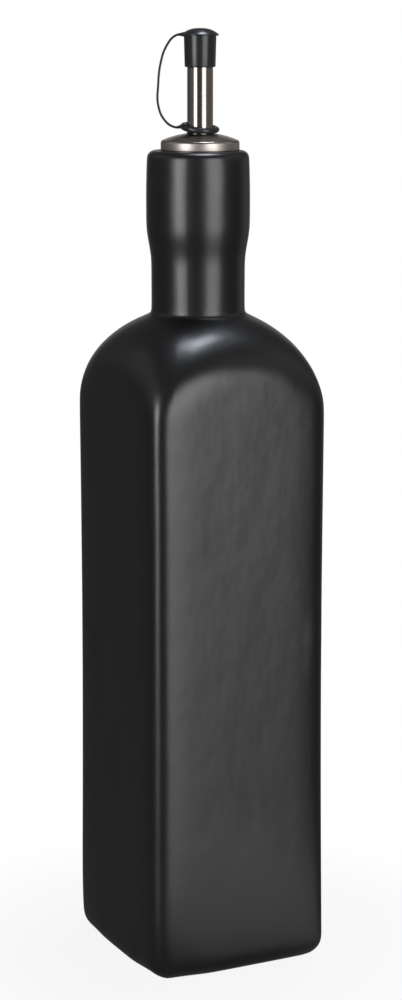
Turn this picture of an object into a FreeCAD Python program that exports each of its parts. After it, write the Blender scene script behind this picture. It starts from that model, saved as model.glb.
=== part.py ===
import FreeCAD, Part
import math
import os

# Square ceramic oil bottle with a steel pourer and a tethered pouring cap.
# Millimetres. The origin is at the centre of the foot, with +Z up the bottle.
# The flat sides face along X and Y.

# Bottle body
body_width = 62.4             # flat to flat, at the foot and under the shoulder
side_hollow = 0.43            # how far each flat side is drawn in at half height
corner_radius = 6.9           # of the four upright corners
base_rounding = 6.6           # where the sides turn under to the foot
foot_ring = 4.6               # narrowest width of the flat ring that the bottle stands on
foot_hollow_depth = 0.8
corner_height = 178.3         # where the upright corners start to lean in

# Shoulder
shoulder_rise = 29.1          # from the start of the lean up to the foot of the neck
face_delay = 11.5             # the flat sides start to lean in this much higher up
shoulder_fullness = 1.82      # a larger value keeps the shoulder full for longer
shoulder_roundness = 1.96     # 2 is an ellipse

# Neck
neck_width = 29.9
neck_offset = 0.65            # how far the neck stands off the middle of the body
offset_direction = 154.7      # degrees from +X
neck_softness = 1.0           # of the hollow curve where the shoulder meets the neck
collar_swell = 1.67           # how much larger the radius is at the neck's wider top
collar_start = 12.4           # heights above the foot of the neck
collar_full = 34.3
collar_belly = 38.6
neck_height = 52.3            # up to the flat top of the lip
lip_narrowing = 0.3           # smaller radius under the lip than at the belly
lip_rounding = 2.3

# Steel pourer: a pressed collar and a drawn tube
flange_setback = 1.45         # from the start of the lip's rounding in to the steel
skirt_height = 3.0            # of the upright skirt, before its edge is rounded
flange_rounding = 0.75
dome_height = 5.4             # from the lip up to where the dome meets the tube
tube_width = 8.25
tube_length = 33.4            # from the lip up to its end inside the cap
steel_clearance = 0.03        # gap round the tube in the collar

# Pouring cap, moulded in one piece with its strap and ring
cap_wall = 1.02               # round the tube, under the lid
cap_draft = 0.25              # how much smaller the radius is at the mouth
cap_length = 9.9              # from the mouth up to the lid
cap_cover = 7.0               # how far the tube goes into the cap
mouth_rounding = 0.35
lid_overhang = 0.8
lid_edge = 0.45
lid_rounding = 0.15
lid_crown = 2.0               # rise of the lid over its edge
cap_clearance = 0.03          # gap round the tube in the cap

ring_thickness = 1.8
ring_clearance = 0.25         # gap between the ring and the tube
ring_rise = 1.65              # centre of the ring above the top of the dome
ring_lift = 5.5               # degrees, how far the strap pulls its side of the ring up
ring_droop = 6.0              # degrees, how far the side a quarter turn on hangs down

strap_thickness = 0.72
strap_width = 1.4
strap_rounding = 0.2
strap_root = 0.85             # extra thickness where the strap joins the lid and the ring
root_share = 0.12             # share of the strap over which it thickens
strap_direction = 154.7       # degrees from +X

# Distance of the strap's middle from the tube, and its share of the height from ring to lid
strap_route = [
    (1.0, 1.000),
    (3.7, 0.986),
    (6.6, 0.870),
    (8.4, 0.690),
    (9.2, 0.448),
    (9.15, 0.223),
    (7.05, 0.064),
    (4.0, -0.007),
    (1.4, 0.000),
]

# How finely the curved surfaces are taken
points_round = 64
corner_crowding = 0.6         # share by which the points draw together at the corners
rounding_steps = 6
band_steps = 8                # sections in each band of the bottle's side
strap_steps = 24

# Radii and levels that follow
tube_radius = tube_width / 2
cap_radius = tube_radius + cap_clearance + cap_wall
lid_radius = cap_radius + lid_overhang
ring_middle = tube_radius + ring_clearance + ring_thickness / 2
lip_flat = neck_width / 2 + collar_swell - lip_narrowing - lip_rounding
foot_hollow = body_width / 2 - base_rounding - foot_ring
face_height = corner_height + face_delay
neck_foot = corner_height + shoulder_rise
lip_top = neck_foot + neck_height
lip_start = lip_top - lip_rounding
cap_mouth = lip_top + tube_length - cap_cover
lid_foot = cap_mouth + cap_length
ring_height = lip_top + dome_height + ring_rise
root_two = math.sqrt(2)


def vector(x, y, z):
    return FreeCAD.Vector(x, y, z)


def smooth_step(share):
    share = min(max(share, 0), 1)
    return share * share * (3 - 2 * share)


def neck_radius(height):
    """Half width of the neck: straight, then swelling to the collar, narrower again at the lip."""
    swell = smooth_step((height - neck_foot - collar_start) / (collar_full - collar_start))
    belly = neck_foot + collar_belly
    narrowing = max((height - belly) / (lip_start - belly), 0) ** 2 * lip_narrowing
    return neck_width / 2 + collar_swell * swell - narrowing


def shoulder_radius(full_radius, start, height):
    """Half width of the shoulder, which leans in from start and would pass the neck at its foot."""
    if height <= start:
        return full_radius
    neck_share = (neck_width / 2 / full_radius) ** shoulder_roundness
    whole_rise = (neck_foot - start) / (1 - neck_share) ** (1 / shoulder_fullness)
    share = min((height - start) / whole_rise, 1)
    return full_radius * (1 - share ** shoulder_fullness) ** (1 / shoulder_roundness)


def half_width(full_radius, start, height):
    """The shoulder's half width, flowing into the neck's in a small hollow curve."""
    shoulder = shoulder_radius(full_radius, start, height)
    if height <= corner_height:
        return shoulder
    neck = neck_radius(height)
    return (shoulder + neck + math.hypot(shoulder - neck, neck_softness)) / 2


def bottle_section(height, inset):
    """Points round the bottle at one height: a square with rounded corners, or a circle."""
    half = body_width / 2
    if height < corner_height:
        half -= side_hollow * math.sin(math.pi * height / corner_height)
    diagonal = half * root_two - corner_radius * (root_two - 1)
    flat = half_width(half, face_height, height) - inset
    corner = max(half_width(diagonal, corner_height, height) - inset, flat)
    power = math.log(2) / math.log(root_two * flat / corner)
    aside = neck_offset * smooth_step((height - corner_height) / shoulder_rise)
    direction = math.radians(offset_direction)
    middle = vector(aside * math.cos(direction), aside * math.sin(direction), height)
    points = []
    for step in range(points_round):
        even = 2 * math.pi * step / points_round
        turn = even + corner_crowding * math.sin(4 * even) / 4
        across = abs(math.cos(turn)) ** power + abs(math.sin(turn)) ** power
        radius = flat / across ** (1 / power)
        points.append(middle + vector(radius * math.cos(turn), radius * math.sin(turn), 0))
    return points


def spread(start, end, steps):
    """Heights from start towards end, closer together near both."""
    return [
        start + (end - start) * (1 - math.cos(math.pi * step / steps)) / 2
        for step in range(steps)
    ]


def skin(sections):
    """A closed solid with one smooth surface through sections that have equally many points."""
    around = [step / points_round for step in range(points_round + 1)]
    rings = []
    for points in sections:
        ring = Part.BSplineCurve()
        ring.interpolate(Points=points, PeriodicFlag=True, Parameters=around)
        rings.append(ring)
    along = [0.0]
    for lower, upper in zip(sections, sections[1:]):
        along.append(along[-1] + (upper[0] - lower[0]).Length)
    columns = []
    for pole in range(1, rings[0].NbPoles + 1):
        column = Part.BSplineCurve()
        column.interpolate(Points=[ring.getPole(pole) for ring in rings], Parameters=along)
        columns.append(column)
    surface = Part.BSplineSurface()
    surface.buildFromPolesMultsKnots(
        [column.getPoles() for column in columns],
        rings[0].getMultiplicities(),
        columns[0].getMultiplicities(),
        rings[0].getKnots(),
        columns[0].getKnots(),
        True,
        False,
        rings[0].Degree,
        columns[0].Degree,
    )
    faces = [Part.Face(Part.Wire(surface.vIso(end).toShape())) for end in (along[0], along[-1])]
    borders = along[:-band_steps:band_steps] + along[-1:]
    for lower, upper in zip(borders, borders[1:]):
        band = surface.copy()
        band.segment(0, 1, lower, upper)
        faces.append(band.toShape())
    shell = Part.makeShell(faces)
    shell.sewShape()
    return Part.makeSolid(shell)


def make_bottle():
    """Closed and opaque, so it is one solid, with a shallow hollow under the foot."""
    turns = [math.pi / 2 * step / rounding_steps for step in range(rounding_steps + 1)]
    sections = []
    for turn in turns[:-1]:
        height = base_rounding * (1 - math.cos(turn))
        sections.append(bottle_section(height, base_rounding * (1 - math.sin(turn))))
    heights = (
        spread(base_rounding, corner_height, 12)
        + spread(corner_height, face_height, 6)
        + spread(face_height, neck_foot, 12)
        + spread(neck_foot, neck_foot + collar_start, 6)
        + spread(neck_foot + collar_start, neck_foot + collar_full, 8)
        + spread(neck_foot + collar_full, lip_start, 5)
    )
    sections += [bottle_section(height, 0) for height in heights]
    for turn in turns:
        height = lip_start + lip_rounding * math.sin(turn)
        sections.append(bottle_section(height, lip_rounding * (1 - math.cos(turn))))
    hollow = Part.makeCylinder(foot_hollow, foot_hollow_depth)
    ceiling = [edge for edge in hollow.Edges if edge.BoundBox.ZMin > foot_hollow_depth / 2]
    return skin(sections).cut(hollow.makeFillet(foot_hollow_depth * 0.9, ceiling))


def line(start, end):
    """A straight edge between two (radius, height) places."""
    return Part.makeLine(vector(start[0], 0, start[1]), vector(end[0], 0, end[1]))


def crown(edge, middle):
    """An arc that rises from edge to middle and is level on the axis, both (radius, height)."""
    across = edge[0] ** 2 - middle[0] ** 2
    centre = (edge[1] + middle[1]) / 2 - across / (2 * (middle[1] - edge[1]))
    radius = math.hypot(edge[0], edge[1] - centre)
    halfway = (edge[0] + middle[0]) / 2
    top = centre + math.sqrt(radius ** 2 - halfway ** 2)
    ends = [vector(edge[0], 0, edge[1]), vector(halfway, 0, top), vector(middle[0], 0, middle[1])]
    return Part.Arc(*ends).toShape()


def turned(edges):
    """A solid of revolution about Z from the edges of its outline."""
    outline = Part.Face(Part.Wire(edges))
    return outline.revolve(vector(0, 0, 0), vector(0, 0, 1), 360)


def rounded(solid, radius, height):
    """Rounds the widest circular edge that lies at a height."""
    circles = [edge for edge in solid.Edges if edge.isClosed() and edge.BoundBox.ZLength < 0.01]
    level = [edge for edge in circles if abs(edge.BoundBox.Center.z - height) < 0.01]
    return solid.makeFillet(radius, [max(level, key=lambda edge: edge.Length)])


def make_flange():
    """The pressed steel collar on the lip: an upright skirt under a shallow dome."""
    bore = tube_radius + steel_clearance
    skirt_foot = (lip_flat - flange_setback, lip_top)
    skirt = (skirt_foot[0], lip_top + skirt_height)
    top = (bore, lip_top + dome_height)
    edges = [
        line((bore, lip_top), skirt_foot),
        line(skirt_foot, skirt),
        crown(skirt, top),
        line(top, (bore, lip_top)),
    ]
    return rounded(turned(edges), flange_rounding, skirt[1])


def make_tube():
    """The pouring tube. Its end is shut inside the cap, so it is solid."""
    return Part.makeCylinder(tube_radius, tube_length, vector(0, 0, lip_top))


def make_cap():
    """The cap's body and lid, with a socket for the end of the tube."""
    bore = tube_radius + cap_clearance
    mouth = (cap_radius - cap_draft, cap_mouth)
    lid_under = (lid_radius, lid_foot)
    lid_over = (lid_radius, lid_foot + lid_edge)
    top = (0, lid_foot + lid_edge + lid_crown)
    socket_top = cap_mouth + cap_cover
    edges = [
        line((bore, cap_mouth), mouth),
        line(mouth, (cap_radius, lid_foot)),
        line((cap_radius, lid_foot), lid_under),
        line(lid_under, lid_over),
        crown(lid_over, top),
        line(top, (0, socket_top)),
        line((0, socket_top), (bore, socket_top)),
        line((bore, socket_top), (bore, cap_mouth)),
    ]
    cap = rounded(turned(edges), mouth_rounding, cap_mouth)
    return rounded(cap, lid_rounding, lid_foot + lid_edge)


def make_ring():
    """The ring round the foot of the tube, pulled askew by the strap."""
    ring = Part.makeTorus(ring_middle, ring_thickness / 2)
    ring.rotate(vector(0, 0, 0), vector(0, 1, 0), -ring_lift)
    ring.rotate(vector(0, 0, 0), vector(1, 0, 0), -ring_droop)
    ring.translate(vector(0, 0, ring_height))
    return ring


def make_strap():
    """The flat strap, lying in one upright plane, from the lid out and down to the ring."""
    ring_side = ring_height + ring_middle * math.sin(math.radians(ring_lift))
    rise = lid_foot + lid_edge - ring_side
    route = Part.BSplineCurve()
    route.interpolate(
        Points=[vector(tube_radius + out, 0, ring_side + rise * share) for out, share in strap_route]
    )
    outer = []
    inner = []
    for step in range(strap_steps + 1):
        share = step / strap_steps
        place = route.FirstParameter + (route.LastParameter - route.FirstParameter) * share
        along = route.tangent(place)[0]
        across = vector(-along.z, 0, along.x)
        root = max(1 - min(share, 1 - share) / root_share, 0)
        thickness = strap_thickness + strap_root * root ** 2
        outer.append(route.value(place) + across * thickness / 2)
        inner.append(route.value(place) - across * thickness / 2)
    sides = []
    for points in (outer, inner[::-1]):
        side = Part.BSplineCurve()
        side.interpolate(Points=points)
        sides.append(side.toShape())
    ends = [Part.makeLine(outer[-1], inner[-1]), Part.makeLine(inner[0], outer[0])]
    outline = Part.Wire([sides[0], ends[0], sides[1], ends[1]])
    strap = Part.Face(outline).extrude(vector(0, strap_width, 0))
    strap.translate(vector(0, -strap_width / 2, 0))
    long_edges = [edge for edge in strap.Edges if edge.Length > rise / 2]
    return strap.makeFillet(strap_rounding, long_edges)


def make_pour_cap():
    """The cap, its strap and its ring, one moulding."""
    pour_cap = make_cap().fuse([make_strap(), make_ring()])
    pour_cap.rotate(vector(0, 0, 0), vector(0, 0, 1), strap_direction)
    return pour_cap


nodes = {
    "bottle": make_bottle(),
    "pourer_flange": make_flange(),
    "spout_tube": make_tube(),
    "pour_cap": make_pour_cap(),
}
os.makedirs("parts", exist_ok=True)
for name, shape in nodes.items():
    shape.exportStep("parts/" + name + ".step")
    print(name, round(shape.Volume), "cubic mm,", len(shape.Solids), "solid, valid", shape.isValid())
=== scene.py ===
import math

import bmesh
import bpy
from mathutils import Matrix, Vector


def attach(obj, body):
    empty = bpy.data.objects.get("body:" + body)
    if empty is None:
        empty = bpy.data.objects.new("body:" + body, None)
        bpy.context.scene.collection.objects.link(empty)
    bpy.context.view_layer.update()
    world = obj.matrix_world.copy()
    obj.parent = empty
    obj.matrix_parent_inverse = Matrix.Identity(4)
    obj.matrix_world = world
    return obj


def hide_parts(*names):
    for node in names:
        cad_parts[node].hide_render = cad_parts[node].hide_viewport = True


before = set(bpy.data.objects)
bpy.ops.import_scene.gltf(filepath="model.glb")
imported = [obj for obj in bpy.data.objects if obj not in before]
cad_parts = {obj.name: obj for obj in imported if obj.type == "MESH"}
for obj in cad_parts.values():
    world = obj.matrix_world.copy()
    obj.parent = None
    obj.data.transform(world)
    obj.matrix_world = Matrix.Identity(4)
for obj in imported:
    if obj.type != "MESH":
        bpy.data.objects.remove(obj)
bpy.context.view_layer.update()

scene = bpy.context.scene

# ---- Camera ----
# A long lens on a stand 0.78 m from the bottle and as high as its cap. The lens is level with
# the cap and slightly tipped, and its back is shifted down so that the upright edges stay upright.
camera_turn = math.radians(26.5)
camera_tip = math.radians(5.427)
camera_distance = 0.77795
camera_height = 0.30167
toward_camera = Vector((-math.sin(camera_turn), -math.cos(camera_turn), 0))
to_the_right = Vector((math.cos(camera_turn), -math.sin(camera_turn), 0))

bpy.ops.object.select_all(action="DESELECT")
bpy.ops.object.camera_add(location=toward_camera * camera_distance
                          + Vector((0, 0, camera_height)))
camera = bpy.context.object
camera.name = "camera"
camera.rotation_euler = (math.radians(90) - camera_tip, 0, -camera_turn)
camera.data.sensor_fit = "VERTICAL"
camera.data.sensor_height = 36
camera.data.lens = 88.03
camera.data.shift_x = 0.0009
camera.data.shift_y = -0.25
scene.camera = camera

# ---- Bottle ----
# A square stoneware bottle, cast in a plaster mould, trimmed at the lip and dipped in one matt
# black glaze inside and out. Its flat sides are drawn in a little from firing, and the glaze
# lies in soft waves a few centimetres long.
body_width = 0.0624
side_hollow = 0.00043           # how far a flat side is drawn in halfway up
upright_corner = 0.0069
foot_rounding = 0.0066
foot_hollow_radius = 0.0200
foot_hollow_depth = 0.0008
corner_height = 0.1783          # the corners start to lean in here
face_height = 0.1898            # the flat sides start to lean in here
corner_curve = 1.96             # powers of the shoulder's arch, where 2 and 2 are an ellipse
rise_curve = 1.82
neck_foot = 0.2074
lip_top = 0.2597
neck_radius = 0.01495
neck_offset = 0.00065
offset_direction = math.radians(154.7)
neck_swell = 0.00167            # the wider band round the upper neck
swell_top = neck_foot + 0.0386
lip_drawn_in = 0.0003
lip_rounding = 0.0023
inner_fillet = 0.001            # softens the line where shoulder and neck meet


def soft_step(start, end, place):
    """0 up to the start, 1 from the end, and a smooth rise between them."""
    share = min(max((place - start) / (end - start), 0), 1)
    return share * share * (3 - 2 * share)


def neck_at(height):
    """Half width of the neck, with its wider band under the lip."""
    swell = 0.86 * soft_step(neck_foot + 0.0165, neck_foot + 0.0287, height)
    swell += 0.14 * soft_step(neck_foot + 0.0100, swell_top, height)
    above = max((height - swell_top) / (lip_top - lip_rounding - swell_top), 0)
    return neck_radius + neck_swell * swell - lip_drawn_in * above ** 2


def bottle_at(full_size, lean_start, height):
    """Half width of the bottle, up its side and over the shoulder into the neck."""
    if height <= lean_start:
        shoulder = full_size
    else:
        neck_share = (neck_radius / full_size) ** corner_curve
        rise = (neck_foot - lean_start) / (1 - neck_share) ** (1 / rise_curve)
        share = min((height - lean_start) / rise, 1)
        shoulder = full_size * (1 - share ** rise_curve) ** (1 / corner_curve)
    if height <= corner_height:
        return shoulder
    neck = neck_at(height)
    return (shoulder + neck + math.hypot(shoulder - neck, inner_fillet)) / 2


def flat_and_corner(height):
    """Half the width from side to side, and from the axis to a corner, at that height."""
    half = body_width / 2
    if height < corner_height:
        half -= side_hollow * math.sin(math.pi * height / corner_height)
    diagonal = half * math.sqrt(2) - upright_corner * (math.sqrt(2) - 1)
    flat = bottle_at(half, face_height, height)
    return flat, max(bottle_at(diagonal, corner_height, height), flat)


def select(kind, wanted):
    """Selects only the verts, edges or faces of the piece being edited that are wanted."""
    bpy.ops.mesh.select_mode(type=kind)
    bpy.ops.mesh.select_all(action="DESELECT")
    shape = bmesh.from_edit_mesh(bpy.context.object.data)
    shape.normal_update()
    for part in {"VERT": shape.verts, "EDGE": shape.edges, "FACE": shape.faces}[kind]:
        if wanted(part):
            part.select_set(True)
    shape.select_flush_mode()
    bmesh.update_edit_mesh(bpy.context.object.data)


def at_height(part, height):
    """True for an edge or a face that lies level at that height."""
    return all(abs(vert.co.z - height) < 0.00001 for vert in part.verts)


def outside(part, radius):
    """True for an edge or a face that lies wholly beyond that distance from the axis."""
    return all(vert.co.xy.length > radius for vert in part.verts)


def start_editing(name):
    """Names the new primitive, puts its place into its mesh and opens it for editing."""
    bpy.context.object.name = name
    bpy.context.object.data.name = name
    bpy.ops.object.transform_apply(location=True, rotation=True, scale=True)
    bpy.ops.object.mode_set(mode="EDIT")
    return bpy.context.object


def finish_editing():
    """Turns every face of the piece outward and closes it for editing."""
    bpy.ops.mesh.select_all(action="SELECT")
    bpy.ops.mesh.normals_make_consistent(inside=False)
    bpy.ops.object.mode_set(mode="OBJECT")


def step(move=(0, 0, 0), size=1.0):
    """Extrudes what is selected by a move, and makes the new loop larger or smaller."""
    bpy.ops.mesh.extrude_region_move(TRANSFORM_OT_translate={"value": move})
    bpy.ops.transform.resize(value=(size, size, 1))


bpy.ops.object.select_all(action="DESELECT")
bpy.ops.mesh.primitive_plane_add(size=body_width, location=(0, 0, 0))
bottle = start_editing("black_glazed_bottle")
select("VERT", lambda vert: True)
bpy.ops.mesh.bevel(offset=upright_corner, segments=8, profile=0.5, affect="VERTICES")
select("EDGE", lambda edge: edge.calc_length() > upright_corner)
bpy.ops.mesh.subdivide(number_cuts=12)
select("FACE", lambda face: True)

rim = [vert.co for vert in bmesh.from_edit_mesh(bottle.data).verts]
mean_size = sum(math.hypot(place.x, place.y) for place in rim) / len(rim)
flat, corner = flat_and_corner(0)
height = 0
aside = 0
# Heights of the loops, closer together where the outline bends
levels = [0.009, 0.020, 0.040, 0.065, 0.0892, 0.097, 0.104, 0.111, 0.118, 0.138, 0.157, 0.170]
levels += [corner_height + rise for rise in (0, 0.003, 0.006, 0.009, 0.012, 0.015, 0.018)]
levels += [corner_height + rise for rise in (0.0205, 0.0227, 0.0246, 0.0262, 0.0275)]
levels += [neck_foot + rise for rise in (-0.0006, 0.0002, 0.0012, 0.003, 0.0065, 0.0115)]
levels += [neck_foot + rise for rise in (0.0150, 0.0175, 0.0200, 0.0226, 0.0252, 0.0277)]
levels += [neck_foot + rise for rise in (0.0302, 0.034, 0.040)]
levels += [lip_top - 0.0045, lip_top]
for level in levels:
    new_flat, new_corner = flat_and_corner(level)
    new_aside = neck_offset * soft_step(corner_height, neck_foot, level)
    drift = new_aside - aside
    bpy.ops.mesh.extrude_region_move(TRANSFORM_OT_translate={"value": (
        drift * math.cos(offset_direction), drift * math.sin(offset_direction), level - height)})
    # roundness and size that turn the present loop into the one wanted
    ratio = new_corner / new_flat
    excess = corner - ratio * flat
    roundness = min(max(excess / (excess + mean_size * (ratio - 1)), 0), 1) if excess > 0 else 0
    bpy.ops.transform.tosphere(value=roundness)
    size = new_flat / (flat * (1 - roundness) + mean_size * roundness)
    bpy.ops.transform.resize(value=(size, size, 1))
    flat, corner, height, aside = new_flat, new_corner, level, new_aside
    mean_size *= size

# The square part settles on the bottle's true form before the foot and the lip are rounded
select("VERT", lambda vert: 0.008 < vert.co.z < neck_foot + 0.007)
bpy.ops.object.vertex_group_assign_new()
bottle.vertex_groups[-1].name = "sides"
bpy.ops.object.mode_set(mode="OBJECT")
settle = bottle.modifiers.new("settle", "SHRINKWRAP")
settle.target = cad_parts["bottle"]
settle.wrap_method = "NEAREST_SURFACEPOINT"
settle.vertex_group = "sides"
bpy.ops.object.modifier_apply(modifier=settle.name)
bpy.ops.object.mode_set(mode="EDIT")


def on_end(edge, height):
    """True for the edges round an end face, where it meets the sides."""
    return at_height(edge, height) and len({face.normal.z > 0.9 or face.normal.z < -0.9
                                            for face in edge.link_faces}) == 2


select("EDGE", lambda edge: on_end(edge, lip_top))
bpy.ops.mesh.bevel(offset=lip_rounding, segments=5, profile=0.5, clamp_overlap=False)
select("EDGE", lambda edge: on_end(edge, 0))
bpy.ops.mesh.bevel(offset=foot_rounding, segments=6, profile=0.5, clamp_overlap=False)

# The foot was sponged rounder at its corners than the sides are
for turn, count in ((45, 4), (60, 10), (75, 20), (90, 30)):
    height = foot_rounding * (1 - math.sin(math.radians(turn)))
    select("VERT", lambda vert: abs(vert.co.z - height) < 0.0001)
    bpy.ops.mesh.vertices_smooth(factor=0.5, repeat=count, zaxis=False)
# Two of its corners, at the near side and at the left, were sponged off more than the others
near_corner = body_width / 2 - foot_rounding - 0.002
for side, pull in ((-1, 0.0016), (1, 0.0010)):
    select("VERT", lambda vert: vert.co.z < 0.0001 and -vert.co.x > near_corner
           and side * vert.co.y > near_corner)
    bpy.ops.transform.translate(value=(pull, -side * pull, 0), use_proportional_edit=True,
                                proportional_edit_falloff="SMOOTH", proportional_size=0.016)

# Lip: flat, and closed under the steel collar
select("FACE", lambda face: at_height(face, lip_top) and len(face.verts) > 4)
for size in (0.96, 0.8, 0.5):
    step(size=size)
bpy.ops.mesh.poke()

# Foot: a flat ring round a shallow round hollow
select("FACE", lambda face: at_height(face, 0) and len(face.verts) > 4)
hollow_rim_radius = foot_hollow_radius + 0.0006
step(size=0.985)
bpy.ops.mesh.extrude_region_move(TRANSFORM_OT_translate={"value": (0, 0, 0)})
bpy.ops.transform.tosphere(value=1)
ring = [vert.co for vert in bmesh.from_edit_mesh(bottle.data).verts if vert.select]
size = hollow_rim_radius / (sum(place.length for place in ring) / len(ring))
bpy.ops.transform.resize(value=(size, size, 1))
step(size=foot_hollow_radius / hollow_rim_radius)
step((0, 0, foot_hollow_depth * 0.6), 0.995)
step((0, 0, foot_hollow_depth * 0.4), 0.965)
for size in (0.9, 0.7, 0.5):
    step(size=size)
bpy.ops.mesh.poke()
finish_editing()
bottle.vertex_groups.clear()

smoothing = bottle.modifiers.new("smoothing", "SUBSURF")
smoothing.levels = smoothing.render_levels = 2
bpy.ops.object.modifier_apply(modifier=smoothing.name)

# A thick run of glaze that set on the corner at the front right, pulled out at three heights
bpy.ops.object.mode_set(mode="EDIT")
out_of_corner = Vector((0.34, -0.94, 0))
for height, pull in ((0.0965, 0.00012), (0.1035, 0.0002), (0.1095, 0.00012)):
    run_place = Vector((0.0262, -0.0308, height))
    nearest = min((vert.co - run_place).length for vert in
                  bmesh.from_edit_mesh(bottle.data).verts)
    select("VERT", lambda vert: (vert.co - run_place).length < nearest + 0.0001)
    bpy.ops.transform.translate(value=out_of_corner * pull, use_proportional_edit=True,
                                proportional_edit_falloff="SMOOTH", proportional_size=0.006)
bpy.ops.object.mode_set(mode="OBJECT")
bpy.ops.object.shade_smooth()


def linear(hex_colour):
    """An sRGB hex colour as the linear numbers that a shader takes."""
    parts = [int(hex_colour[place:place + 2], 16) / 255 for place in (1, 3, 5)]
    return [part / 12.92 if part < 0.04045 else ((part + 0.055) / 1.055) ** 2.4
            for part in parts] + [1]


def node(tree, kind, sockets, **settings):
    """Adds a shader node, sets it up, and fills or links its sockets."""
    added = tree.nodes.new("ShaderNode" + kind)
    for name, value in settings.items():
        setattr(added, name, value)
    for name, value in sockets.items():
        if isinstance(value, bpy.types.NodeSocket):
            tree.links.new(value, added.inputs[name])
        else:
            added.inputs[name].default_value = value
    return added


def new_material(name):
    """An empty material with its node tree."""
    material = bpy.data.materials.new(name)
    material.use_nodes = True
    material.node_tree.nodes.clear()
    return material, material.node_tree


def noise(tree, place, width, detail):
    """Soft noise with patches about that many metres wide."""
    return node(tree, "TexNoise", {"Vector": place, "Scale": 1 / width,
                                   "Detail": detail}).outputs["Fac"]


def stretch(tree, place, along):
    """The place for a pattern that is drawn out along Z: a small number makes long lines."""
    return node(tree, "Mapping", {"Vector": place, "Scale": (1, 1, along)}).outputs["Vector"]


def remap(tree, value, ends, levels, curve="LINEAR"):
    """The value, taken from between the two ends to between the two levels."""
    return node(tree, "MapRange", {"Value": value, "From Min": ends[0], "From Max": ends[1],
                                   "To Min": levels[0], "To Max": levels[1]},
                interpolation_type=curve).outputs["Result"]


def calculate(tree, operation, *values):
    """The result of one sum on numbers."""
    return node(tree, "Math", dict(enumerate(values)), operation=operation).outputs["Value"]


def bump(tree, height, strength, depth, below=None):
    """The normal of a relief of that depth in metres, laid over the one below it."""
    sockets = {"Height": height, "Strength": strength, "Distance": depth}
    if below is not None:
        sockets["Normal"] = below
    return node(tree, "Bump", sockets).outputs["Normal"]


def mix_colours(tree, share, first, second):
    """The first colour where the share is 0 and the second where it is 1."""
    return node(tree, "Mix", {"Factor": share, "A": first, "B": second},
                data_type="RGBA").outputs["Result"]


# Matt black stoneware glaze, dipped and fired: a glassy coat dulled by fine crystals, so it is
# near black with broad soft lights, slightly uneven in sheen, with a few specks of dust.
glaze, tree = new_material("matt_black_glaze")
place = node(tree, "TexCoord", {}).outputs["Object"]
# patches of duller and glossier glaze about 22 mm across, from how thickly it ran
patches = noise(tree, place, 0.022, 1.0)
sheen = remap(tree, patches, (0.1, 0.9), (0.28, 0.32))
tone = remap(tree, patches, (0.1, 0.9), (0, 1))
colour = mix_colours(tree, tone, linear("#151516"), linear("#19191a"))
# dust specks up to 0.5 mm wide, a few on the whole bottle
scatter = node(tree, "TexVoronoi", {"Vector": place, "Scale": 1 / 0.011, "Randomness": 1.0})
speck = calculate(tree, "LESS_THAN", scatter.outputs["Distance"], 0.022)
draw = node(tree, "SeparateColor", {"Color": scatter.outputs["Color"]}).outputs["Red"]
chosen = calculate(tree, "GREATER_THAN", draw, 0.78)
dust = calculate(tree, "MULTIPLY", speck, chosen)
dusted = mix_colours(tree, dust, colour, linear("#4c4c4d"))
# waves about 28 mm long, and ripples of 9 mm drawn out downwards, where the glaze ran and set
waves = bump(tree, noise(tree, place, 0.028, 0.0), 1.0, 0.00015)
ripples = bump(tree, noise(tree, stretch(tree, place, 0.7), 0.009, 2.0), 1.0, 0.00014, waves)
# orange peel 1.4 mm across, and crystal grain of 0.3 mm, drawn as coarse as it can show
peel = bump(tree, noise(tree, place, 0.0014, 1.0), 0.3, 0.00001, ripples)
grain = bump(tree, noise(tree, place, 0.0003, 2.0), 0.35, 0.000008, peel)
skin = node(tree, "BsdfPrincipled", {"Base Color": dusted, "Roughness": sheen, "IOR": 1.6,
                                     "Normal": grain})
node(tree, "OutputMaterial", {"Surface": skin.outputs["BSDF"]})
bottle.data.materials.append(glaze)
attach(bottle, "root")
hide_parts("bottle")

# ---- Steel collar ----
# A stainless-steel pressing that sits on the lip over the stopper: a short upright skirt under
# a shallow dome. Its skirt is brushed as it turns, its dome is polished, and its edges are rolled.
lip_flat_radius = neck_radius + neck_swell - lip_drawn_in - lip_rounding
collar_radius = lip_flat_radius - 0.00145
skirt_height = 0.0030
dome_height = 0.0054
tube_radius = 0.004125
push_fit = 0.00003              # room between the tube and what is pushed over it
collar_bore = tube_radius + push_fit


def dome_at(radius):
    """Height of the dome above the top of the skirt, on one arc that is level on the axis."""
    rise = dome_height - skirt_height
    wide, narrow = collar_radius ** 2, collar_bore ** 2
    centre = (wide - narrow) / (2 * rise) - rise / 2
    arc = math.sqrt(centre ** 2 + wide)
    return math.sqrt(arc ** 2 - radius ** 2) - centre


bpy.ops.object.select_all(action="DESELECT")
bpy.ops.mesh.primitive_circle_add(vertices=96, radius=collar_radius, location=(0, 0, lip_top))
collar = start_editing("steel_collar")
select("EDGE", lambda edge: True)
step((0, 0, skirt_height))
radius = collar_radius
for share in (0.97, 0.9, 0.8, 0.68, 0.56, 0.45):
    new_radius = collar_radius * share
    step((0, 0, dome_at(new_radius) - dome_at(radius)), new_radius / radius)
    radius = new_radius
step((0, 0, dome_at(collar_bore) - dome_at(radius)), collar_bore / radius)
step((0, 0, -dome_height))
select("EDGE", lambda edge: at_height(edge, lip_top))
bpy.ops.mesh.bridge_edge_loops()
select("EDGE", lambda edge: at_height(edge, lip_top + skirt_height))
bpy.ops.mesh.bevel(offset=0.00065, segments=6, profile=0.5)
select("EDGE", lambda edge: at_height(edge, lip_top) and outside(edge, collar_radius * 0.9))
bpy.ops.mesh.bevel(offset=0.0003, segments=3, profile=0.5)
bpy.ops.mesh.select_all(action="SELECT")
bpy.ops.mesh.remove_doubles(threshold=0.000001)
finish_editing()
bpy.ops.object.shade_smooth_by_angle(angle=math.radians(40))

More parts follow.
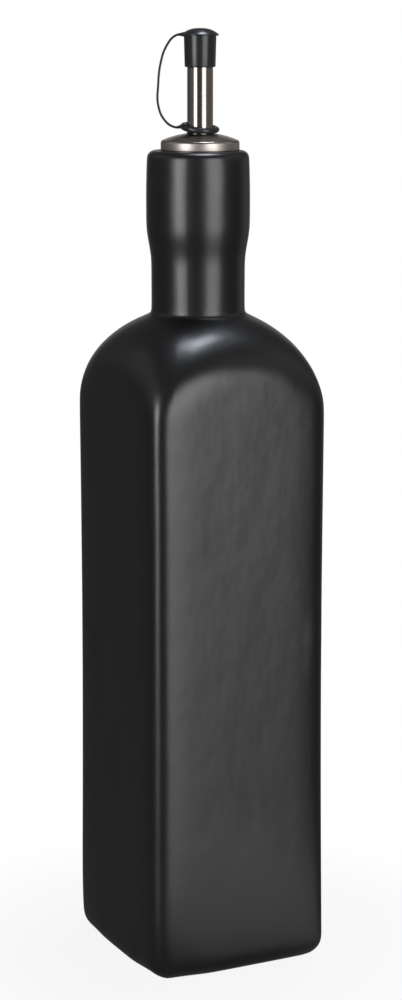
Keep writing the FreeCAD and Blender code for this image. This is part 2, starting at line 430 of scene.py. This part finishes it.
# Stainless steel, pressed and then brushed as it turned: bright and slightly warm, dull on the
# skirt, which has fine upright draw lines, and smoother on the dome.
steel, tree = new_material("brushed_stainless_steel")
place = node(tree, "TexCoord", {}).outputs["Object"]
# upright draw lines 0.4 mm apart, left on the skirt by the press
lines = bump(tree, noise(tree, stretch(tree, place, 0.05), 0.0004, 3.0), 0.2, 0.00001)
dullness = remap(tree, noise(tree, place, 0.004, 2.0), (0, 1), (0.37, 0.46))
# the dome and its rolled edge, above the skirt, were polished
polished_from = lip_top + skirt_height - 0.0006
polished = remap(tree, node(tree, "SeparateXYZ", {"Vector": place}).outputs["Z"],
                 (polished_from, polished_from + 0.0003), (0, 1))
finish = node(tree, "Mix", {0: polished, 2: dullness, 3: 0.24}).outputs["Result"]
metal = node(tree, "BsdfPrincipled", {"Base Color": linear("#c0b9b3"), "Metallic": 1.0,
                                      "Roughness": finish, "Normal": lines})
node(tree, "OutputMaterial", {"Surface": metal.outputs["BSDF"]})
collar.data.materials.append(steel)
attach(collar, "root")
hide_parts("pourer_flange")

# ---- Pouring tube ----
# A drawn stainless-steel tube, pushed through the collar and flared where it meets the dome.
# Its upper end is inside the cap. It is bright, with faint drawing lines along it.
tube_length = 0.0334
flare_height = 0.00025
bpy.ops.object.select_all(action="DESELECT")
bpy.ops.mesh.primitive_cylinder_add(vertices=64, radius=tube_radius, depth=tube_length,
                                    location=(0, 0, lip_top + tube_length / 2))
tube = start_editing("pouring_tube")
for end in (lip_top + tube_length, lip_top):
    select("FACE", lambda face: at_height(face, end))
    bpy.ops.mesh.inset(thickness=0.0004)
    bpy.ops.mesh.poke()
select("EDGE", lambda edge: at_height(edge, lip_top + tube_length)
       and outside(edge, tube_radius * 0.99))
bpy.ops.mesh.bevel(offset=0.0002, segments=3, profile=0.5)
# the flare stands on the dome
for height in (dome_height + 0.0006, dome_height + flare_height, dome_height):
    bpy.ops.mesh.select_all(action="SELECT")
    bpy.ops.mesh.bisect(plane_co=(0, 0, lip_top + height), plane_no=(0, 0, 1))
for height, growth in ((dome_height, 1.07), (dome_height + flare_height, 1.02)):
    select("EDGE", lambda edge: at_height(edge, lip_top + height))
    bpy.ops.transform.resize(value=(growth, growth, 1))
finish_editing()
bpy.ops.object.shade_smooth_by_angle(angle=math.radians(40))

# Stainless steel tube, drawn through a die and polished: bright, with lights that are drawn out
# round it by faint lines along its length, 0.2 mm apart.
drawn_steel, tree = new_material("drawn_stainless_steel")
place = node(tree, "TexCoord", {}).outputs["Object"]
drawing = noise(tree, stretch(tree, place, 0.01), 0.0002, 2.0)
around = node(tree, "Tangent", {}, direction_type="RADIAL", axis="Z")
metal = node(tree, "BsdfPrincipled", {
    "Base Color": linear("#aaa39e"), "Metallic": 1.0,
    "Roughness": remap(tree, drawing, (0, 1), (0.2, 0.26)),
    "Anisotropic": 0.85, "Anisotropic Rotation": 0.25, "Tangent": around.outputs["Tangent"],
    "Normal": bump(tree, drawing, 0.04, 0.00001)})
node(tree, "OutputMaterial", {"Surface": metal.outputs["BSDF"]})
tube.data.materials.append(drawn_steel)
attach(tube, "root")
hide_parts("spout_tube")

# ---- Pouring cap ----
# A dust cap, its strap and its ring, moulded in one piece of soft black polypropylene. The cap
# is pushed over the end of the tube, and the ring is threaded on the tube below it.
cap_socket = 0.0070             # how far the cap is pushed over the tube
cap_mouth = lip_top + tube_length - cap_socket
cap_length = 0.0099
lid_foot = cap_mouth + cap_length
socket_radius = tube_radius + push_fit
cap_radius = socket_radius + 0.00102
mouth_radius = cap_radius - 0.00025
lid_radius = cap_radius + 0.0008
lid_edge = 0.00045
lid_crown = 0.0020
ring_thickness = 0.0018
ring_middle = tube_radius + 0.00025 + ring_thickness / 2
ring_height = lip_top + dome_height + 0.00165
strap_direction = math.radians(154.7)

bpy.ops.object.select_all(action="DESELECT")
bpy.ops.mesh.primitive_circle_add(vertices=96, radius=socket_radius,
                                  location=(0, 0, cap_mouth + cap_socket))
cap = start_editing("pouring_cap")
select("EDGE", lambda edge: True)
step((0, 0, -cap_socket))
step(size=mouth_radius / socket_radius)
middle_radius = (mouth_radius + cap_radius) / 2
step((0, 0, cap_length * 0.5), middle_radius / mouth_radius)
step((0, 0, cap_length * 0.5), cap_radius / middle_radius)
step(size=lid_radius / cap_radius)
step((0, 0, lid_edge))
radius = lid_radius
height = 0
for share in (0.97, 0.9, 0.8, 0.66, 0.5, 0.32, 0.15):
    new_radius = lid_radius * share
    new_height = lid_crown * (1 - share ** 2.6)
    step((0, 0, new_height - height), new_radius / radius)
    radius, height = new_radius, new_height
bpy.ops.mesh.edge_face_add()
bpy.ops.mesh.poke()
select("EDGE", lambda edge: at_height(edge, cap_mouth + cap_socket))
bpy.ops.mesh.edge_face_add()
bpy.ops.mesh.poke()
select("EDGE", lambda edge: at_height(edge, cap_mouth) and outside(edge, mouth_radius * 0.98))
bpy.ops.mesh.bevel(offset=0.00033, segments=4, profile=0.5)
select("EDGE", lambda edge: at_height(edge, cap_mouth)
       and all(vert.co.xy.length < socket_radius * 1.01 for vert in edge.verts))
bpy.ops.mesh.bevel(offset=0.00015, segments=2, profile=0.5)
select("EDGE", lambda edge: (at_height(edge, lid_foot + lid_edge) or at_height(edge, lid_foot))
       and outside(edge, lid_radius * 0.98))
bpy.ops.mesh.bevel(offset=0.00014, segments=3, profile=0.5)
finish_editing()

# The strap leaves the lid level, hangs in one long loop and comes back level to the ring. It is
# extruded along its way, and turned a little at each step.
ring_lift = math.radians(5.5)
ring_droop = math.radians(6.0)
strap_thickness = 0.00072
strap_width = 0.0014
ring_side = ring_height + ring_middle * math.sin(ring_lift)
strap_rise = lid_foot + lid_edge - ring_side
# from the lid to the ring: millimetres out from the tube's side, and share of the rise
strap_route = [(1.0, 1.000), (3.7, 0.986), (6.6, 0.870), (8.4, 0.690), (9.2, 0.448),
               (9.15, 0.223), (7.05, 0.064), (4.0, -0.007), (1.4, 0.000)]
bpy.ops.object.select_all(action="DESELECT")
bpy.ops.curve.primitive_bezier_curve_add(location=(0, 0, 0))
guide = bpy.context.object
line = guide.data.splines[0]
line.bezier_points.add(len(strap_route) - 2)
for point, (out, share) in zip(line.bezier_points, strap_route):
    point.co = (tube_radius + out / 1000, 0, ring_side + strap_rise * share)
    point.handle_left_type = point.handle_right_type = "AUTO"
line.resolution_u = 6
bpy.ops.object.convert(target="MESH")
way = [vert.co.copy() for vert in guide.data.vertices]
bpy.ops.object.delete()

bpy.ops.mesh.primitive_plane_add(size=1, location=way[0], rotation=(0, math.radians(90), 0))
root_growth = 0.00085 / strap_thickness     # at both roots the strap is thicker by this share,
root_length = 0.12                          # and grows over this share of its way
bpy.context.object.scale = (strap_thickness * (1 + root_growth), strap_width, 1)
strap = start_editing("pouring_cap_strap")
select("FACE", lambda face: True)
heading = 0
thickness = 1 + root_growth
for count, (here, there) in enumerate(zip(way, way[1:])):
    after = way[min(count + 2, len(way) - 1)]
    new_heading = math.atan2(after.z - here.z, after.x - here.x)
    turn = (new_heading - heading + math.pi) % (2 * math.pi) - math.pi
    share = (count + 1) / (len(way) - 1)
    root = max(1 - min(share, 1 - share) / root_length, 0)
    new_thickness = 1 + root_growth * root ** 2
    bpy.ops.mesh.extrude_region_move(TRANSFORM_OT_translate={"value": there - here})
    bpy.ops.transform.rotate(value=turn, orient_axis="Y", center_override=there)
    grown = new_thickness / thickness
    across = (abs(math.sin(new_heading)), abs(math.cos(new_heading)))
    bpy.ops.transform.resize(value=(1 + (grown - 1) * across[0], 1,
                                    1 + (grown - 1) * across[1]), center_override=there)
    heading, thickness = new_heading, new_thickness
select("EDGE", lambda edge: len({vert.co.y > 0 for vert in edge.verts}) == 1
       and edge.calc_length() > 0 and all(len(face.verts) == 4 for face in edge.link_faces)
       and edge.calc_face_angle(0) > 1)
bpy.ops.mesh.bevel(offset=0.0002, segments=3, profile=0.5)
finish_editing()

# The ring hangs askew: the strap lifts its own side, and the side towards the front droops.
bpy.ops.object.select_all(action="DESELECT")
bpy.ops.mesh.primitive_torus_add(major_radius=ring_middle, minor_radius=ring_thickness / 2,
                                 major_segments=96, minor_segments=24)
ring = start_editing("pouring_cap_ring")
# thicker where the strap runs into it
select("VERT", lambda vert: vert.co.x > ring_middle * 0.8)
bpy.ops.transform.shrink_fatten(value=0.0002, use_proportional_edit=True,
                                proportional_size=0.003)
bpy.ops.object.mode_set(mode="OBJECT")
ring.matrix_world = (Matrix.Translation((0, 0, ring_height))
                     @ Matrix.Rotation(-ring_droop, 4, "X") @ Matrix.Rotation(-ring_lift, 4, "Y"))
bpy.ops.object.transform_apply(location=True, rotation=True, scale=True)

for piece in (cap, strap, ring):
    piece.select_set(True)
bpy.context.view_layer.objects.active = cap
bpy.ops.object.join()
cap.rotation_euler.z = strap_direction
bpy.ops.object.transform_apply(location=True, rotation=True, scale=True)
bpy.ops.object.shade_smooth_by_angle(angle=math.radians(35))

# Polypropylene with carbon black, moulded in a finely sparked tool: blue-black and satin, with
# a faint grain and a little wear from fingers.
black_plastic, tree = new_material("moulded_black_polypropylene")
place = node(tree, "TexCoord", {}).outputs["Object"]
handling = noise(tree, place, 0.005, 3.0)
colour = mix_colours(tree, handling, linear("#28292c"), linear("#303135"))
# spark texture 0.15 mm across
spark = bump(tree, noise(tree, place, 0.00015, 2.0), 0.25, 0.00001)
plastic = node(tree, "BsdfPrincipled", {
    "Base Color": colour, "Roughness": remap(tree, handling, (0, 1), (0.21, 0.27)),
    "IOR": 1.49, "Normal": spark})
node(tree, "OutputMaterial", {"Surface": plastic.outputs["BSDF"]})
cap.data.materials.append(black_plastic)
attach(cap, "root")
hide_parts("pour_cap")

# ---- Studio ----
# A small white table in a dark studio, before a white backdrop. A tall softbox stands to each
# side of the camera and one hangs overhead. Black curtains and a grey card on the table, which
# are there for the reflections alone, keep the rest dark; both glow faintly with painted light,
# and the card carries painted shade round the foot.
table_radius = 0.15
bpy.ops.object.select_all(action="DESELECT")
bpy.ops.mesh.primitive_circle_add(vertices=128, radius=table_radius, fill_type="NGON")
table = bpy.context.object
table.name = "table"


def seen_directly(tree):
    """1 for the rays that should see a white background, and 0 for the rest."""
    rays = node(tree, "LightPath", {}).outputs
    shiny = calculate(tree, "MAXIMUM", rays["Is Camera Ray"], rays["Is Glossy Ray"])
    return calculate(tree, "MAXIMUM", shiny, rays["Is Transmission Ray"])


def measure(tree, operation, *places):
    """A length, a distance or a dot product of places."""
    return node(tree, "VectorMath", dict(enumerate(places)), operation=operation).outputs["Value"]


def fade(tree, value, ends, levels):
    """The value taken smoothly from the first level at the first end to the second."""
    return remap(tree, value, ends, levels, "SMOOTHSTEP")


# Painted white, and taken to the white of the backdrop for every ray that sees it directly
table_paint, tree = new_material("white_table_paint")
place = node(tree, "TexCoord", {}).outputs["Object"]
whiteness = fade(tree, measure(tree, "LENGTH", place), (0.05, 0.12), (0.9, 1.0))
share = calculate(tree, "MULTIPLY", whiteness, seen_directly(tree))
paint = node(tree, "BsdfDiffuse", {"Color": linear("#f0f0f0")})
white = node(tree, "Emission", {"Color": (1, 1, 1, 1), "Strength": 1.0})
mixed = node(tree, "MixShader", {0: share, 1: paint.outputs["BSDF"],
                                 2: white.outputs["Emission"]})
node(tree, "OutputMaterial", {"Surface": mixed.outputs["Shader"]})
table.data.materials.append(table_paint)

world = bpy.data.worlds.new("white_backdrop")
scene.world = world
world.use_nodes = True
tree = world.node_tree
tree.nodes.clear()
backdrop = node(tree, "Background", {"Color": (1, 1, 1, 1), "Strength": seen_directly(tree)})
node(tree, "OutputWorld", {"Surface": backdrop.outputs["Background"]})


def direction(turn):
    """The level direction that many degrees to the right of the camera, seen from the bottle."""
    turn = math.radians(turn)
    return toward_camera * math.cos(turn) + to_the_right * math.sin(turn)


# Curtains all round, of black cloth that glows faintly with painted light, standing in for what
# the studio scatters onto it
curtain_distance = 2.2
dark_level = 0.09
bpy.ops.object.select_all(action="DESELECT")
bpy.ops.mesh.primitive_cylinder_add(vertices=72, radius=curtain_distance, depth=4.0,
                                    location=(0, 0, 0.4))
curtains = start_editing("black_curtains")
bpy.ops.object.mode_set(mode="OBJECT")
black_cloth_painted_glow, tree = new_material("black_cloth_painted_glow")
place = node(tree, "TexCoord", {}).outputs["Object"]
# low down beside the backdrop
backdrop_middle = direction(180) * curtain_distance + Vector((0, 0, 0.2))
beside = fade(tree, measure(tree, "DISTANCE", place, backdrop_middle), (0.4, 1.3), (0.35, 0.0))
# high up at both sides
off_axis = calculate(tree, "ABSOLUTE", measure(tree, "DOT_PRODUCT", place, to_the_right))
at_side = fade(tree, off_axis, (1.5, 2.1), (0, 1))
high_up = fade(tree, node(tree, "SeparateXYZ", {"Vector": place}).outputs["Z"],
               (-0.1, 1.5), (0.0, 0.22))
# and behind to the right, where two curtains meet
seam = direction(128) * curtain_distance
at_seam = fade(tree, measure(tree, "DISTANCE", place, seam), (0.2, 0.8), (0.2, 0.0))
# painted light: the cloth glows brighter high up at the sides, beside the backdrop and at the seam
painted_spill = calculate(tree, "MULTIPLY_ADD", at_side, high_up, beside)
strength = calculate(tree, "ADD", calculate(tree, "ADD", painted_spill, dark_level), at_seam)
cloth = node(tree, "Emission", {"Color": linear("#fffaf6"), "Strength": strength})
node(tree, "OutputMaterial", {"Surface": cloth.outputs["Emission"]})

# A dark grey card on the table, seen only in reflections, that glows as a painted reflection of
# the table: painted light only in front to the right and clear of the foot, and painted shade
# round the foot
bpy.ops.object.select_all(action="DESELECT")
bpy.ops.mesh.primitive_circle_add(vertices=128, radius=table_radius, fill_type="NGON",
                                  location=(0, 0, 0.0004))
card = start_editing("shaded_card")
bpy.ops.object.mode_set(mode="OBJECT")
card_paint, tree = new_material("shaded_card_paint")
place = node(tree, "TexCoord", {}).outputs["Object"]
outward = node(tree, "VectorMath", {0: place}, operation="NORMALIZE").outputs["Vector"]
# painted shade: the card's glow is darker close round the foot
painted_shade_round_foot = fade(tree, measure(tree, "LENGTH", place), (0.03, 0.075), (dark_level, 0.6))
# painted light: the card glows pale in a wedge in front to the right, a painted reflection of the
# lit table
painted_paleness = fade(tree, measure(tree, "DOT_PRODUCT", outward, direction(43)), (0.65, 0.97),
                (dark_level, painted_shade_round_foot))
pale = node(tree, "Emission", {"Strength": painted_paleness})
node(tree, "OutputMaterial", {"Surface": pale.outputs["Emission"]})
for screen, finish in ((curtains, black_cloth_painted_glow), (card, card_paint)):
    screen.data.materials.append(finish)
    screen.visible_camera = False
    screen.visible_shadow = False
    screen.visible_diffuse = False

# Softboxes: white cloth over a lamp, brightest in the middle and fading towards the rim. Across
# and up, each has the places where it is dark, full, still full and dark again.
softbox_distance = 1.6
for name, turn, across, heights, radiance in (
        ("left_softbox", -41.0, (-0.56, -0.27, 0.23, 0.46), (-0.46, 0.1, 0.4, 1.2), 5.4),
        ("right_softbox", 36.5, (-0.60, -0.38, 0.34, 0.62), (-0.9, 0.25, 0.45, 1.5), 3.9)):
    out = direction(turn)
    low, high = heights[0], heights[-1]
    middle = (low + high) / 2
    half_width = max(-across[0], across[-1])
    bpy.ops.object.select_all(action="DESELECT")
    bpy.ops.mesh.primitive_plane_add(size=1)
    softbox = bpy.context.object
    softbox.name = name
    softbox.scale = (half_width * 2, high - low, 1)
    bpy.ops.object.transform_apply(location=False, rotation=False, scale=True)
    softbox.location = out * softbox_distance + Vector((0, 0, middle))
    softbox.rotation_euler = out.to_track_quat("Z", "Y").to_euler()
    cover, tree = new_material(name + "_cloth")
    parts = node(tree, "SeparateXYZ", {"Vector": node(tree, "TexCoord", {}).outputs["Object"]})
    glow = radiance
    for side, dark, full in (("X", across[0], across[1]), ("X", across[3], across[2]),
                             ("Y", low - middle, heights[1] - middle),
                             ("Y", high - middle, heights[2] - middle)):
        glow = calculate(tree, "MULTIPLY", glow,
                         fade(tree, parts.outputs[side], (dark, full), (0, 1)))
    lamp = node(tree, "Emission", {"Strength": glow})
    node(tree, "OutputMaterial", {"Surface": lamp.outputs["Emission"]})
    softbox.data.materials.append(cover)
    softbox.visible_camera = False

# The overhead softbox, a little behind the bottle and aimed at its shoulder
overhead_width = 0.3
overhead_place = Vector((0, 0, 1.1)) + to_the_right * 0.1 - toward_camera * 0.123
overhead_aim = overhead_place - Vector((0, 0, 0.2))
bpy.ops.object.select_all(action="DESELECT")
bpy.ops.object.light_add(type="AREA", location=overhead_place)
overhead = bpy.context.object
overhead.name = "overhead_softbox"
overhead.rotation_euler = overhead_aim.to_track_quat("Z", "Y").to_euler()
overhead.data.shape = "RECTANGLE"
overhead.data.size = overhead.data.size_y = overhead_width
overhead.data.energy = 15.8 * math.pi * overhead_width ** 2
overhead.data.color = (0.82, 0.89, 1.0)
overhead.visible_camera = False

scene.view_settings.view_transform = "Standard"
